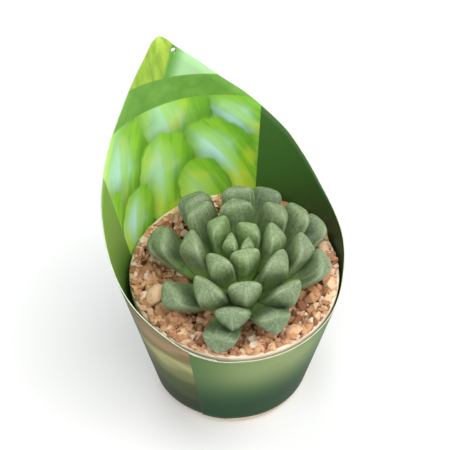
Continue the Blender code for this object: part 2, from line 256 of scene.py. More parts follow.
def finishPiece(name, bm, materials, sharpAngle=None):
    mesh = meshFrom(name, bm)
    for material in materials:
        mesh.materials.append(material)
    mesh.shade_smooth()
    if sharpAngle:
        mesh.set_sharp_from_angle(angle=math.radians(sharpAngle))
    piece = placeObject(name, mesh)
    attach(piece, "root")
    return piece


def applyModifiers(piece):
    evaluated = piece.evaluated_get(bpy.context.evaluated_depsgraph_get())
    mesh = bpy.data.meshes.new_from_object(evaluated)
    piece.modifiers.clear()
    piece.data = mesh


def dressNode(node, material):
    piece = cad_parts[node]
    piece.data.materials.clear()
    piece.data.materials.append(material)


def potPlastic():
    material, tree, shader = newMaterial("creamPotPlastic")
    place = objectPlace(tree)
    grain = useGroup(tree, surfaceGrain, {"Vector": place, "Size": 6 * mm, "Relief": 0.12})
    colour = mixColour(tree, mapRange(tree, grain["Tone"], 0.3, 0.75), pot["plastic"], pot["scuff"])
    # browner and darker towards the bottom, up to this height
    lowDown = mapRange(tree, splitVector(tree, place)["Z"], pot["brownTintHeight"], 0.0, 0.0, 0.35)
    colour = mixColour(tree, lowDown, colour, pot["brownTint"])
    rough = mapRange(tree, grain["Fine"], 0.3, 0.7, 0.34, 0.5)
    setShader(tree, shader, {"Base Color": colour, "Roughness": rough, "Normal": grain["Normal"]},
              {"Subsurface Weight": 0.08, "Subsurface Scale": 0.002})
    return material


peatTones = ((0.3, (28, 18, 12)), (0.55, (64, 42, 28)), (0.8, (110, 82, 56)))


def pottingPeat():
    material, tree, shader = newMaterial("moistPeat")
    grain = useGroup(tree, surfaceGrain, {"Vector": objectPlace(tree), "Size": 3 * mm, "Relief": 1.0})
    colour = colourRamp(tree, grain["Fine"], peatTones)
    setShader(tree, shader, {"Base Color": colour, "Normal": grain["Normal"]}, {"Roughness": 0.95})
    return material


dressNode("pot", potPlastic())
dressNode("potting_soil", pottingPeat())
print("pot and soil dressed")


sleeve = {
    "card": 0.40 * mm,
    "taper": 0.186,
    "bottom": 5.0 * mm,
    "tipTurn": 3.0,
    "looseTurn": -78.0,  # where the card stands off the pot most, how far, and how wide that is
    "loose": 2.0 * mm,
    "looseSpread": 38.0,
    "seamTurn": 236.5,
    "seamLap": 14.0,
    "plyGap": 0.03 * mm,
    "wave": 0.35 * mm,
    "waveRise": 30 * mm,  # the free card's wave is full at this height above the pot
    "columns": 300,
    "rows": 26,
    "holeRadius": 0.9 * mm,
    "holeTurn": 8.5,
    "holeDrop": 2.6 * mm,
    "punchLength": 8 * mm,
    # the top edge: degrees from the tip, millimetres above the pot rim
    "edge": ((0, 79.3), (3, 77.6), (6, 73.8), (12, 67.8), (24, 56.8), (35, 49.2), (45, 42.0),
             (56, 34.5), (66, 26.5), (79, 18.0), (93, 12.5), (105, 9.0), (115, 5.3), (125, 1.0),
             (142, -1.6), (180, -2.0)),
}

# the print, in centimetres across from +Y and up from the table
sleevePrint = {
    "radius": 4.6,  # centimetres across for each radian of turn
    "blur": 0.02,
    "picture": (-3.44, 3.65),  # its left and right border
    "band": (-0.08, 11.37),  # slope and height of the band's lower edge
    "tipField": (-0.175, 12.52),
    "tipSplit": (-0.345, 4.11),  # the slanting line between the tip's two tones
    # leaves: across and height, lean in degrees, half length, half width, glow
    "leaves": (
        (-1.6, 11.0, 12, 2.6, 1.9, 0.4), (1.5, 10.9, -18, 2.6, 1.8, 1.0), (-4.4, 9.9, 36, 2.7, 1.7, 0.3),
        (3.3, 9.6, -46, 2.4, 1.5, 1.0), (0.3, 9.5, -6, 2.9, 1.9, 0.5), (-2.7, 8.9, 22, 2.9, 1.8, 0.7),
        (4.4, 7.6, -50, 2.2, 1.3, 0.4), (2.5, 8.0, -34, 2.5, 1.5, 0.8), (-4.8, 7.2, 40, 2.6, 1.4, 0.6),
        (-0.4, 7.6, 6, 2.5, 1.6, 0.5), (1.6, 6.4, -28, 2.0, 1.3, 0.2), (-2.6, 6.4, 26, 2.2, 1.3, 0.8),
    ),
    "leafFlank": ((0.06, (206, 238, 132)), (0.30, (178, 224, 80)), (0.52, (150, 206, 56)),
                  (0.74, (116, 178, 46)), (0.94, (84, 144, 36))),
    "shineThrough": (200, 214, 58),
    "leafGlow": (190, 236, 226),
    "leafRim": (84, 150, 40),
    "leafShadow": (40, 92, 22),
    "ground": ((92, 150, 40), (122, 178, 60)),
    "rightField": ((60, 100, 40), (34, 62, 24)),
    "leftField": ((124, 162, 70), (92, 130, 50)),
    "bandField": ((90, 144, 44), (112, 162, 62)),
    "tipLeft": ((124, 164, 44), (166, 194, 64)),
    "tipRight": ((94, 154, 52), (166, 210, 150)),
    # the outside: a sage panel in front, blurred foliage behind, and blurred tan beyond the seam
    # the outer panel's pale patch right of the middle is partly print and partly painted highlight
    "sageHighlightMiddle": 15.2,
    "sage": ((80, 110, 60), (144, 160, 106)),
    # painted shade on the panel's side nearer +X
    "sageSideShade": (46, 74, 34),
    # deep green print at the foot, darkened further by painted shade
    "sageFootAndShade": (14, 58, 26),
    "backFoliage": ((56, 98, 44), (88, 130, 56)),
    "backTop": (146, 186, 84),
    "backBand": (7.38, 8.82),  # lower and upper edge
    "backBandField": (108, 142, 64),
    "backFoot": (46, 80, 48),
    "tan": ((0.10, (38, 48, 26)), (0.34, (66, 76, 38)), (0.50, (112, 116, 68)), (0.62, (160, 158, 108)),
            (0.72, (118, 104, 62)), (0.84, (150, 124, 90)), (0.96, (126, 112, 78))),
    # painted shade over the tan further from the seam
    "tanSideShade": (50, 56, 32),
    "cutEdge": ((214, 218, 198), (186, 196, 166)),
}


def makePrintedLeafGroup():  # lays one soft-shaded leaf over the colours of the print
    group, given, result = newGroup(
        "printedLeaf",
        [("Vector", "NodeSocketVector", (0, 0, 0)), ("Under", "NodeSocketColor", (0.1, 0.3, 0.05, 1)),
         ("Across", "NodeSocketFloat", 0.0), ("Height", "NodeSocketFloat", 8.0),
         ("Turn", "NodeSocketFloat", 0.0), ("Length", "NodeSocketFloat", 2.0),
         ("Width", "NodeSocketFloat", 1.0), ("Glow", "NodeSocketFloat", 0.5)],
        [("Colour", "NodeSocketColor")],
    )
    centre = addNode(group, "ShaderNodeCombineXYZ", {"X": given["Across"], "Y": given["Height"]}).outputs[0]
    offset = addNode(group, "ShaderNodeVectorMath", {0: given["Vector"], 1: centre}, operation="SUBTRACT")
    turned = addNode(group, "ShaderNodeVectorRotate", {"Vector": offset.outputs[0], "Angle": given["Turn"]},
                     rotation_type="Z_AXIS").outputs[0]
    parts = splitVector(group, turned)
    along = calculate(group, "DIVIDE", parts["Y"], given["Length"])
    side = calculate(group, "DIVIDE", parts["X"], given["Width"])
    side = calculate(group, "DIVIDE", side, calculate(group, "MULTIPLY_ADD", along, 0.34, 0.84))
    # 0 in the leaf's middle and 1 on its slightly wavering outline
    lengthwise = calculate(group, "POWER", calculate(group, "ABSOLUTE", along), 1.4)
    away = calculate(group, "SQRT", calculate(group, "ADD", lengthwise, multiply(group, side, side)))
    waver = cloudNoise(group, given["Vector"], 0.9, 2.0)
    away = calculate(group, "MULTIPLY_ADD", waver, 0.30, calculate(group, "SUBTRACT", away, 0.15))
    # one flank in the light, the other in deep green, with yellow patches where light shines through
    streak = cloudNoise(group, stretch(group, turned, (3.2, 0.35, 1.0)), 1.0, 2.0, 0.5, 0.2)
    streaked = calculate(group, "MULTIPLY_ADD", streak, 0.7, 0.14)
    flank = calculate(group, "MULTIPLY_ADD", side, 0.36, streaked)
    body = colourRamp(group, flank, sleevePrint["leafFlank"])
    patch = cloudNoise(group, given["Vector"], 0.75, 1.0, 0.4)
    through = mapRange(group, calculate(group, "MULTIPLY_ADD", along, -0.12, patch), 0.50, 0.70, 0.0, 0.6)
    body = mixColour(group, through, body, sleevePrint["shineThrough"])
    # pale light that fans out near the end
    fromGlowUp = calculate(group, "ABSOLUTE", calculate(group, "SUBTRACT", along, 0.30))
    fromGlowAcross = calculate(group, "ABSOLUTE", calculate(group, "ADD", side, 0.15))
    glowSpot = mapRange(group, calculate(group, "ADD", fromGlowUp, fromGlowAcross), 0.90, 0.05)
    glowStreak = mapRange(group, streak, 0.36, 0.60, 0.35, 1.15)
    glow = multiply(group, multiply(group, glowSpot, given["Glow"]), glowStreak)
    body = mixColour(group, glow, body, sleevePrint["leafGlow"])
    body = mixColour(group, mapRange(group, away, 0.70, 1.02, 0.0, 0.35), body, sleevePrint["leafRim"])
    shadow = multiply(group, mapRange(group, away, 1.28, 0.96), 0.4)
    under = mixColour(group, shadow, given["Under"], sleevePrint["leafShadow"])
    colour = mixColour(group, mapRange(group, away, 1.03, 0.97), under, body)
    group.links.new(colour, result["Colour"])
    return group


printedLeaf = makePrintedLeafGroup()


def sleeveRadius(turn, height):
    cone = pot["rimRadius"] + pot["fitGap"] + sleeve["taper"] * (height - pot["height"] + pot["beadDepth"])
    offSide = abs((turn - sleeve["looseTurn"] + 180) % 360 - 180) / sleeve["looseSpread"]
    return cone + sleeve["loose"] * math.exp(-offSide**2)


def sleeveEdgeHeight(turn):
    fromTip = abs((turn - sleeve["tipTurn"] + 180) % 360 - 180)
    return pot["height"] + mm * smoothCurve(sleeve["edge"], fromTip)


def printPlace(tree):
    place = addNode(tree, "ShaderNodeUVMap", uv_map="print").outputs["UV"]
    parts = splitVector(tree, place)
    return place, parts["X"], parts["Y"]


def pastLine(tree, value, line=0.0, blur=sleevePrint["blur"]):  # 1 beyond a printed line, 0 before it
    return mapRange(tree, value, line - blur, line + blur)


def aboveLine(tree, across, height, line):  # distance above a sloping line of the print
    slope, middle = line
    return calculate(tree, "SUBTRACT", height, calculate(tree, "MULTIPLY_ADD", across, slope, middle))


def insidePrint():
    material, tree, shader = newMaterial("sleeveInsidePrint")
    place, across, height = printPlace(tree)
    mottle = mapRange(tree, cloudNoise(tree, place, 0.9, 4.0, 0.55), 0.3, 0.7)
    colour = mixColour(tree, mottle, *sleevePrint["ground"])
    for leafAcross, leafHeight, lean, length, width, glow in sleevePrint["leaves"]:
        colour = useGroup(tree, printedLeaf, {
            "Vector": place, "Under": colour, "Across": leafAcross, "Height": leafHeight,
            "Turn": math.radians(lean), "Length": length, "Width": width, "Glow": glow})["Colour"]
    # plain fields right and left of the picture
    left, right = sleevePrint["picture"]
    rightField = mixColour(tree, mapRange(tree, across, 3.6, 9.0), *sleevePrint["rightField"])
    colour = mixColour(tree, pastLine(tree, across, right), colour, rightField)
    leftField = mixColour(tree, mapRange(tree, height, 9.5, 5.5), *sleevePrint["leftField"])
    colour = mixColour(tree, pastLine(tree, across, left, -sleevePrint["blur"]), colour, leftField)
    # band across the upper part, then the two-tone tip
    bandField = mixColour(tree, mottle, *sleevePrint["bandField"])
    aboveBand = aboveLine(tree, across, height, sleevePrint["band"])
    colour = mixColour(tree, pastLine(tree, aboveBand, 0.0, 0.03), colour, bandField)
    tipStreak = cloudNoise(tree, stretch(tree, place, (2.4, 0.7, 1.0)), 1.2, 3.0, 0.5, 0.6)
    tipLeft = mixColour(tree, mapRange(tree, tipStreak, 0.35, 0.68), *sleevePrint["tipLeft"])
    slope, start = sleevePrint["tipSplit"]
    pastSplit = calculate(tree, "MULTIPLY_ADD", height, slope, calculate(tree, "ADD", across, start))
    tipRight = mixColour(tree, mapRange(tree, pastSplit, 0.1, 0.7), *sleevePrint["tipRight"])
    tip = mixColour(tree, mapRange(tree, pastSplit, -0.05, 0.1), tipLeft, tipRight)
    aboveTip = aboveLine(tree, across, height, sleevePrint["tipField"])
    colour = mixColour(tree, pastLine(tree, aboveTip, 0.0, 0.03), colour, tip)
    grain = useGroup(tree, surfaceGrain, {"Vector": place, "Size": 0.5, "Relief": 0.05})
    setShader(tree, shader, {"Base Color": colour, "Normal": grain["Normal"]},
              {"Roughness": 0.40, "Specular IOR Level": 0.4, "Coat Weight": 0.10, "Coat Roughness": 0.20})
    return material


# the outer sage print, with a painted highlight right of the middle, painted shade towards +X, and a deep
# green foot darkened further by painted shade
def sagePanelWithPaintedLight(tree, place, across, height):  # palest right of the middle, deeper at the foot and the sides
    drift = cloudNoise(tree, place, 0.32, 2.0, 0.5, 0.5)
    # partly print and partly painted highlight: palest right of the middle and higher up
    fromMiddle = calculate(tree, "ABSOLUTE", calculate(tree, "SUBTRACT", across, sleevePrint["sageHighlightMiddle"]))
    lift = multiply(tree, mapRange(tree, fromMiddle, 4.0, 0.3), mapRange(tree, height, 2.4, 5.6))
    lift = multiply(tree, lift, mapRange(tree, drift, 0.25, 0.65, 0.7, 1.0))
    sage = mixColour(tree, lift, *sleevePrint["sage"])
    # painted shade darkening the panel as it turns towards +X
    sage = mixColour(tree, mapRange(tree, across, 13.0, 10.6), sage, sleevePrint["sageSideShade"])
    # deep green print at the foot, darkened further by painted shade
    return mixColour(tree, mapRange(tree, height, 5.0, 1.6, 0.0, 0.97), sage, sleevePrint["sageFootAndShade"])


def backFoliage(tree, place, height):  # blurred leaves that pale towards the tip, with one lighter band
    foliage = cloudNoise(tree, place, 0.42, 1.5, 0.45, 0.4)
    back = mixColour(tree, mapRange(tree, foliage, 0.32, 0.66), *sleevePrint["backFoliage"])
    back = mixColour(tree, mapRange(tree, height, 8.0, 14.0, 0.0, 0.8), back, sleevePrint["backTop"])
    low, high = sleevePrint["backBand"]
    inBand = multiply(tree, pastLine(tree, height, low), pastLine(tree, height, high, -sleevePrint["blur"]))
    back = mixColour(tree, multiply(tree, inBand, 0.8), back, sleevePrint["backBandField"])
    return mixColour(tree, mapRange(tree, height, 3.4, 0.8, 0.0, 0.8), back, sleevePrint["backFoot"])


def outsidePrint():
    material, tree, shader = newMaterial("sleeveOutsidePrint")
    place, across, height = printPlace(tree)
    colour = sagePanelWithPaintedLight(tree, place, across, height)
    colour = mixColour(tree, mapRange(tree, across, 11.4, 9.4), colour, backFoliage(tree, place, height))
    # tan over a pale olive patch beyond the seam, dark at the foot, with painted shade further from the seam
    seam = sleevePrint["radius"] * math.radians(sleeve["seamTurn"] - 360)
    fromSeam = calculate(tree, "SUBTRACT", across, seam)
    blur = cloudNoise(tree, stretch(tree, place, (0.5, 1.0, 1.0)), 0.7, 1.5, 0.4, 0.3)
    level = calculate(tree, "MULTIPLY_ADD", blur, 2.2, calculate(tree, "SUBTRACT", height, 1.1))
    level = mapRange(tree, level, 1.0, 7.0, smooth=False)
    tan = colourRamp(tree, level, sleevePrint["tan"])
    tan = mixColour(tree, mapRange(tree, fromSeam, 1.6, 3.6, 0.0, 0.6), tan, sleevePrint["tanSideShade"])
    tanShare = multiply(tree, pastLine(tree, fromSeam), mapRange(tree, fromSeam, 5.2, 3.2))
    colour = mixColour(tree, tanShare, colour, tan)
    grain = useGroup(tree, surfaceGrain, {"Vector": place, "Size": 0.5, "Relief": 0.05})
    setShader(tree, shader, {"Base Color": colour, "Normal": grain["Normal"]},
              {"Roughness": 0.50, "Specular IOR Level": 0.10})
    return material


def cardEdge():
    material, tree, shader = newMaterial("sleeveCutEdge")
    grain = useGroup(tree, surfaceGrain, {"Vector": objectPlace(tree), "Size": 1.5 * mm, "Relief": 0.3})
    colour = mixColour(tree, mapRange(tree, grain["Tone"], 0.3, 0.7), *sleevePrint["cutEdge"])
    setShader(tree, shader, {"Base Color": colour, "Normal": grain["Normal"]}, {"Roughness": 0.8})
    return material


def punchHole(piece):
    turn = sleeve["holeTurn"]
    height = sleeveEdgeHeight(turn) - sleeve["holeDrop"]
    place = Matrix.Translation(turnDirection(turn) * sleeveRadius(turn, height) + up * height)
    facing = Matrix.Rotation(math.radians(-turn), 4, "Z") @ Matrix.Rotation(math.radians(90), 4, "X")
    bm = bmesh.new()
    bmesh.ops.create_cone(bm, cap_ends=True, segments=20, radius1=sleeve["holeRadius"],
                          radius2=sleeve["holeRadius"], depth=sleeve["punchLength"], matrix=place @ facing)
    punch = placeObject("holePunch", meshFrom("holePunch", bm))
    hole = piece.modifiers.new("hangHole", "BOOLEAN")
    hole.operation = "DIFFERENCE"
    hole.object = punch
    applyModifiers(piece)
    bpy.data.objects.remove(punch, do_unlink=True)


def makeSleeve():
    bm = bmesh.new()
    bmesh.ops.create_grid(bm, x_segments=sleeve["columns"], y_segments=sleeve["rows"], size=0.5)
    printLayer = bm.loops.layers.uv.new("print")
    start = sleeve["seamTurn"] - sleeve["seamLap"] - 360
    turns = {}
    for corner in bm.verts:
        turn = start + (corner.co.x + 0.5) * (360 + sleeve["seamLap"])
        height = sleeve["bottom"] + (corner.co.y + 0.5) * (sleeveEdgeHeight(turn) - sleeve["bottom"])
        intoLap = smoothStep(turn, start + 360 - sleeve["seamLap"], start + 360)
        radius = sleeveRadius(turn, height) + (sleeve["card"] + sleeve["plyGap"]) * intoLap
        direction = turnDirection(turn)
        free = smoothStep(height, pot["height"], pot["height"] + sleeve["waveRise"])
        wavePlace = Vector((direction.x * 2.2, direction.y * 2.2, height * 28))
        radius += sleeve["wave"] * free * noise.noise(wavePlace)
        corner.co = direction * radius + up * height
        turns[corner] = turn
    for face in bm.faces:
        for loop in face.loops:
            across = math.radians(turns[loop.vert]) * sleevePrint["radius"]
            loop[printLayer].uv = (across, loop.vert.co.z / cm)
    bmesh.ops.reverse_faces(bm, faces=bm.faces)
    piece = finishPiece("printedSleeve", bm, [outsidePrint(), insidePrint(), cardEdge()])
    card = piece.modifiers.new("card", "SOLIDIFY")
    card.thickness = sleeve["card"]
    card.offset = 1.0
    card.use_even_offset = True
    card.material_offset = 1
    card.material_offset_rim = 2
    punchHole(piece)
    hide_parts("sleeve")


makeSleeve()
print("sleeve made")


rosette = {
    "stem": Vector((-1.0 * mm, -6.0 * mm, 0.0)),
    "stemRadius": 5.0 * mm,
    "stemTopRadius": 4.0 * mm,
    "stemBottom": 44.0 * mm,
    "coreRadius": 9.0 * mm,
    "coreTopRadius": 5.4 * mm,
    "coreBottom": 59.0 * mm,
    "coreTop": 74.0 * mm,
    "leaves": 27,
    "twist": 136.1,
    "firstTurn": 66.5,
    "turnJitter": 2.5,
    "heightJitter": 0.7 * mm,
    "widthJitter": 0.05,
    "rollJitter": 9,
    "width": 14.4 * mm,
    "thickness": 0.86,
    "rootHeight": 61.5 * mm,
    "rootSpread": 2.5 * mm,
    "rootLift": 9.0 * mm,
    "reach": 5.2 * mm,
    "reachPower": 0.612,
    "top": 95.4 * mm,
    "fall": 12.1 * mm,
    "radius": 35.0 * mm,
    "lean": 0.073,
    "leanTurn": 28.5,
    "budDip": 6.5 * mm,
    "oldDroop": 0.3 * mm,
    "oldStart": 14,
    "youth": 6.0,
    "youngSlimness": 0.26,
    "youngTilt": 6.0,
    "oldTilt": 50.0,
    "tiltPower": 1.5,
    "elbowDrop": 1.0 * mm,
    "seed": 5,
    # leaves that grew off the even spiral: number to (turn in degrees, reach in metres)
    "strays": {13: (-15, -0.7 * mm), 14: (-6, 0.0), 16: (6, 3 * mm),
               22: (8, 1.5 * mm), 23: (8, -2 * mm), 27: (-4, 2 * mm)},
    "capLength": 0.38,
    "taper": (0.6, 1.2),  # how far a leaf's end narrows: below 1 is squarer, above 1 more pointed
    "budTaper": 0.5,
    "lastBud": 2,
    "around": 26,
    # rings: share of the body's or the cap's length, width, thickness
    "body": ((0.0, 0.0, 0.0), (0.03, 0.34, 0.36), (0.1, 0.43, 0.46), (0.22, 0.51, 0.55), (0.36, 0.59, 0.63),
             (0.5, 0.69, 0.72), (0.63, 0.80, 0.82), (0.75, 0.89, 0.90), (0.86, 0.95, 0.96),
             (0.94, 0.985, 0.985)),
    "cap": ((0.0, 1.0, 1.0), (0.28, 1.0, 0.98), (0.50, 0.975, 0.94), (0.66, 0.92, 0.87), (0.78, 0.84, 0.78),
            (0.87, 0.72, 0.66), (0.94, 0.54, 0.49), (0.98, 0.32, 0.29), (1.0, 0.0, 0.0)),
    # section: how far the underside is pressed to a keel at the root, and how much more at the end
    "keel": 0.30,
    "keelGain": 0.22,
    "belly": 0.60,
    "upperRise": 0.42,
    "upperFlattening": 0.20,
    "wobble": 0.05,
}

# screen colours: young and grown run from foot to end, grownEnd from a middling leaf to an old one
leafColours = {
    "young": ((176, 216, 106), (156, 192, 102)),
    "grown": ((160, 200, 100), (128, 162, 92)),
    "youngEnd": (122, 150, 82),
    "grownEnd": ((103, 122, 80), (91, 109, 82)),
    "paleEnd": (116, 130, 92),
    "cloud": (138, 152, 110),
    "murk": (74, 100, 56),
    "paleLine": (152, 166, 122),
    "darkLine": (60, 84, 48),
    # pale end colour, partly the window's own and partly a painted highlight
    "hazeAndHighlight": (146, 160, 122),
    "vein": (52, 78, 50),
    "dot": (162, 178, 136),
    "margin": (168, 182, 146),
    "foot": (78, 108, 36),
}


def leafForm(number, draw):
    growth = max(number, (number + 2) / 4)
    age = growth / rosette["leaves"]
    youth = math.exp(-growth / rosette["youth"])
    strayTurn, strayReach = rosette["strays"].get(number, (0.0, 0.0))
    turn = rosette["firstTurn"] + rosette["twist"] * (number - 1)
    turn += draw.uniform(-rosette["turnJitter"], rosette["turnJitter"]) + strayTurn
    out = turnDirection(turn)
    reach = rosette["reach"] * growth ** rosette["reachPower"] + strayReach
    budDip = rosette["budDip"] * math.exp(-(reach / rosette["budDip"]) ** 2)
    droop = rosette["oldDroop"] * max(number - rosette["oldStart"], 0)
    lean = rosette["lean"] * reach * out.dot(turnDirection(rosette["leanTurn"]))
    tipHeight = rosette["top"] - rosette["fall"] * (reach / rosette["radius"]) ** 2 - budDip - droop + lean
    tipHeight += draw.uniform(-rosette["heightJitter"], rosette["heightJitter"])
    rootHeight = rosette["rootHeight"] + rosette["rootLift"] * youth
    root = rosette["stem"] + out * min(rosette["rootSpread"], 0.4 * reach) + up * rootHeight
    tip = rosette["stem"] + out * reach + up * tipHeight
    tilt = math.radians(rosette["youngTilt"] + rosette["oldTilt"] * age ** rosette["tiltPower"])
    elbow = tip - (out * math.tan(tilt) + up) * (tipHeight - rootHeight + rosette["elbowDrop"])
    width = rosette["width"] * (1 - rosette["youngSlimness"] * youth)
    width *= min(1.0, reach / rosette["reach"]) ** 0.3
    width *= 1 + draw.uniform(-rosette["widthJitter"], rosette["widthJitter"])
    roll = math.radians(draw.uniform(-rosette["rollJitter"], rosette["rollJitter"]))
    return {"root": root, "elbow": elbow, "tip": tip, "out": out, "width": width, "roll": roll, "age": age}


def leafSection(form, share):  # the midrib's point, the width axis and the upper face's axis
    root, elbow, tip = form["root"], form["elbow"], form["tip"]
    point = root * (1 - share) ** 2 + elbow * 2 * share * (1 - share) + tip * share**2
    along = ((elbow - root) * (1 - share) + (tip - elbow) * share).normalized()
    across = Matrix.Rotation(form["roll"] * share, 3, along) @ form["out"].cross(up)
    return point, across, across.cross(along).normalized()


def leafRings(form):  # share of the leaf's length, width, thickness, share of the cap's length
    length = ((form["elbow"] - form["root"]).length + (form["tip"] - form["elbow"]).length
              + (form["tip"] - form["root"]).length) / 2
    cap = rosette["capLength"] * form["width"] / length
    rings = [(share * (1 - cap), wide, thick, 0.0) for share, wide, thick in rosette["body"]]
    for share, wide, thick in rosette["cap"]:
        rings.append((1 - cap + share * cap, wide ** form["taper"], thick, share))
    return rings


def addLeaf(bm, form, tone, placeLayer, kindLayer):
    rings = leafRings(form)
    last = len(rings) - 1
    made = bmesh.ops.create_uvsphere(bm, u_segments=rosette["around"], v_segments=last, radius=1.0)["verts"]
    thickness = form["width"] * rosette["thickness"]
    for corner in made:
        ring = round(last * (1 - math.acos(max(-1.0, min(1.0, corner.co.z))) / math.pi))
        share, wide, thick, capShare = rings[ring]
        side = math.atan2(corner.co.y, corner.co.x) if 0 < ring < last else -math.pi / 2
        cosine, sine = math.cos(side), math.sin(side)
        point, across, upper = leafSection(form, share)
        if sine < 0:
            keel = rosette["keel"] + rosette["keelGain"] * smoothStep(share, 0.3, 0.95)
            lift = -rosette["belly"] * ((1 - keel) * -sine + keel * (1 - abs(cosine)) ** 0.9)
        else:
            rise = rosette["upperRise"] - rosette["upperFlattening"] * smoothStep(share, 0.4, 0.9)
            lift = rise * sine**0.8
        wobblePlace = Vector((cosine * 1.3, sine * 1.3, share * 2.4 + tone * 40))
        swell = 1 + rosette["wobble"] * noise.noise(wobblePlace)
        sideways = 0.5 * form["width"] * wide * cosine * swell
        corner.co = point + across * sideways + upper * thickness * thick * lift * swell
        corner[placeLayer] = (cosine, sine, share) if 0 < ring < last else (0.0, 0.0, share)
        corner[kindLayer] = (form["age"], tone, capShare)


def leafSkin():
    material, tree, shader = newMaterial("leafSkin")
    place = objectPlace(tree)
    leafPlace = splitAttribute(tree, "leafPlace")
    leafKind = splitAttribute(tree, "leafKind")
    side, lift, share = leafPlace["X"], leafPlace["Y"], leafPlace["Z"]
    age, tone, capShare = leafKind["X"], leafKind["Y"], leafKind["Z"]
    patches = cloudNoise(tree, place, 260.0, 3.0, 0.55, 0.3)
    window = mapRange(tree, calculate(tree, "MULTIPLY_ADD", patches, 0.10, share), 0.66, 0.92)
    # body colour by age, then the grey-green window at the end
    upLeaf = mapRange(tree, share, 0.2, 0.9)
    young = mixColour(tree, upLeaf, *leafColours["young"])
    grown = mixColour(tree, upLeaf, *leafColours["grown"])
    body = mixColour(tree, mapRange(tree, age, 0.02, 0.5), young, grown)
    grownEnd = mixColour(tree, mapRange(tree, age, 0.35, 1.0), *leafColours["grownEnd"])
    end = mixColour(tree, mapRange(tree, age, 0.0, 0.30), leafColours["youngEnd"], grownEnd)
    end = mixColour(tree, mapRange(tree, tone, 0.0, 1.0, 0.0, 0.4), end, leafColours["paleEnd"])
    colour = mixColour(tree, window, body, end)
    # paler clouds and darker murk
    cloud = mapRange(tree, cloudNoise(tree, place, 420.0, 4.0, 0.6), 0.46, 0.66)
    colour = mixColour(tree, multiply(tree, cloud, 0.16), colour, leafColours["cloud"])
    murk = mapRange(tree, cloudNoise(tree, place, 190.0, 2.0, 0.5, 0.5), 0.54, 0.38, 0.0, 0.5)
    colour = mixColour(tree, murk, colour, leafColours["murk"])
    # lines along the window, other ones on each leaf, and haze on its end that is partly the window's pale
    # colour and partly a painted highlight
    alongLeaf = calculate(tree, "MULTIPLY_ADD", share, 0.3, multiply(tree, tone, 7.0))
    linePlace = addNode(tree, "ShaderNodeCombineXYZ", {"X": side, "Y": lift, "Z": alongLeaf}).outputs[0]
    lines = cloudNoise(tree, linePlace, 8.0, 3.0, 0.6)
    paleLine = multiply(tree, mapRange(tree, lines, 0.54, 0.68, 0.0, 0.6), window)
    colour = mixColour(tree, paleLine, colour, leafColours["paleLine"])
    darkLine = multiply(tree, mapRange(tree, lines, 0.46, 0.32, 0.0, 0.45), window)
    colour = mixColour(tree, darkLine, colour, leafColours["darkLine"])
    hazeAndHighlight = mapRange(tree, calculate(tree, "MULTIPLY_ADD", patches, 1.6, capShare), 1.15, 1.60, 0.0, 0.32)
    colour = mixColour(tree, hazeAndHighlight, colour, leafColours["hazeAndHighlight"])
    # dark net veins and tiny pale dots
    cells = cellDistance(tree, place, 620.0, "DISTANCE_TO_EDGE")
    vein = multiply(tree, mapRange(tree, cells, 0.09, 0.02), window)
    colour = mixColour(tree, multiply(tree, vein, 0.45), colour, leafColours["vein"])
    spots = cellDistance(tree, place, 900.0, "F1")
    dot = multiply(tree, mapRange(tree, spots, 0.22, 0.10), mapRange(tree, share, 0.45, 0.8))
    colour = mixColour(tree, multiply(tree, dot, 0.40), colour, leafColours["dot"])
    # pale margins and keel near the end, and the shaded foot
    margin = mapRange(tree, calculate(tree, "ABSOLUTE", side), 0.955, 0.995)
    keel = mapRange(tree, multiply(tree, lift, -1.0), 0.97, 1.0)
    ridge = calculate(tree, "MAXIMUM", margin, multiply(tree, keel, 0.6))
    ridge = multiply(tree, ridge, mapRange(tree, share, 0.45, 0.85))
    colour = mixColour(tree, multiply(tree, ridge, 0.28), colour, leafColours["margin"])
    colour = mixColour(tree, mapRange(tree, share, 0.42, 0.12, 0.0, 0.3), colour, leafColours["foot"])
    relief = calculate(tree, "ADD", multiply(tree, dot, 0.5), multiply(tree, cloud, 0.4))
    bump = addNode(tree, "ShaderNodeBump", {"Strength": 0.35, "Distance": 0.2 * mm, "Height": relief})
    rough = mapRange(tree, patches, 0.3, 0.7, 0.40, 0.54)
    setShader(tree, shader, {"Base Color": colour, "Roughness": rough, "Normal": bump.outputs["Normal"]},
              {"Subsurface Weight": 0.50, "Subsurface Scale": 0.004, "Subsurface Radius": (0.6, 1.0, 0.3),
               "Coat Weight": 0.08, "Coat Roughness": 0.35})
    return material


def addNeck(bm, low, high, lowRadius, highRadius, placeLayer, kindLayer):  # coloured as a grown leaf's foot
    place = Matrix.Translation(rosette["stem"] + up * (low + high) / 2)
    made = bmesh.ops.create_cone(bm, cap_ends=True, segments=24, radius1=lowRadius, radius2=highRadius,
                                 depth=high - low, matrix=place)["verts"]
    for corner in made:
        corner[placeLayer] = (0.0, 0.0, 0.15)
        corner[kindLayer] = (0.6, 0.5, 0.0)


def makeRosette():
    bm = bmesh.new()
    placeLayer = bm.verts.layers.float_vector.new("leafPlace")
    kindLayer = bm.verts.layers.float_vector.new("leafKind")
    draw = random.Random(rosette["seed"])
    tones = random.Random(rosette["seed"] + 1)
    tapers = random.Random(rosette["seed"] + 2)
    for number in range(-1, rosette["leaves"] + 1):
        form = leafForm(number, draw)
        isBud = number <= rosette["lastBud"]
        form["taper"] = rosette["budTaper"] if isBud else tapers.uniform(*rosette["taper"])
        addLeaf(bm, form, tones.random(), placeLayer, kindLayer)
    addNeck(bm, rosette["stemBottom"], rosette["coreTop"], rosette["stemRadius"], rosette["stemTopRadius"],
            placeLayer, kindLayer)
    addNeck(bm, rosette["coreBottom"], rosette["coreTop"], rosette["coreRadius"], rosette["coreTopRadius"],
            placeLayer, kindLayer)
    faceOutwards(bm)
    piece = finishPiece("leafRosette", bm, [leafSkin()])
    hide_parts("rosette")
    return piece


leafRosette = makeRosette()
print("rosette made:", len(leafRosette.data.polygons), "faces")


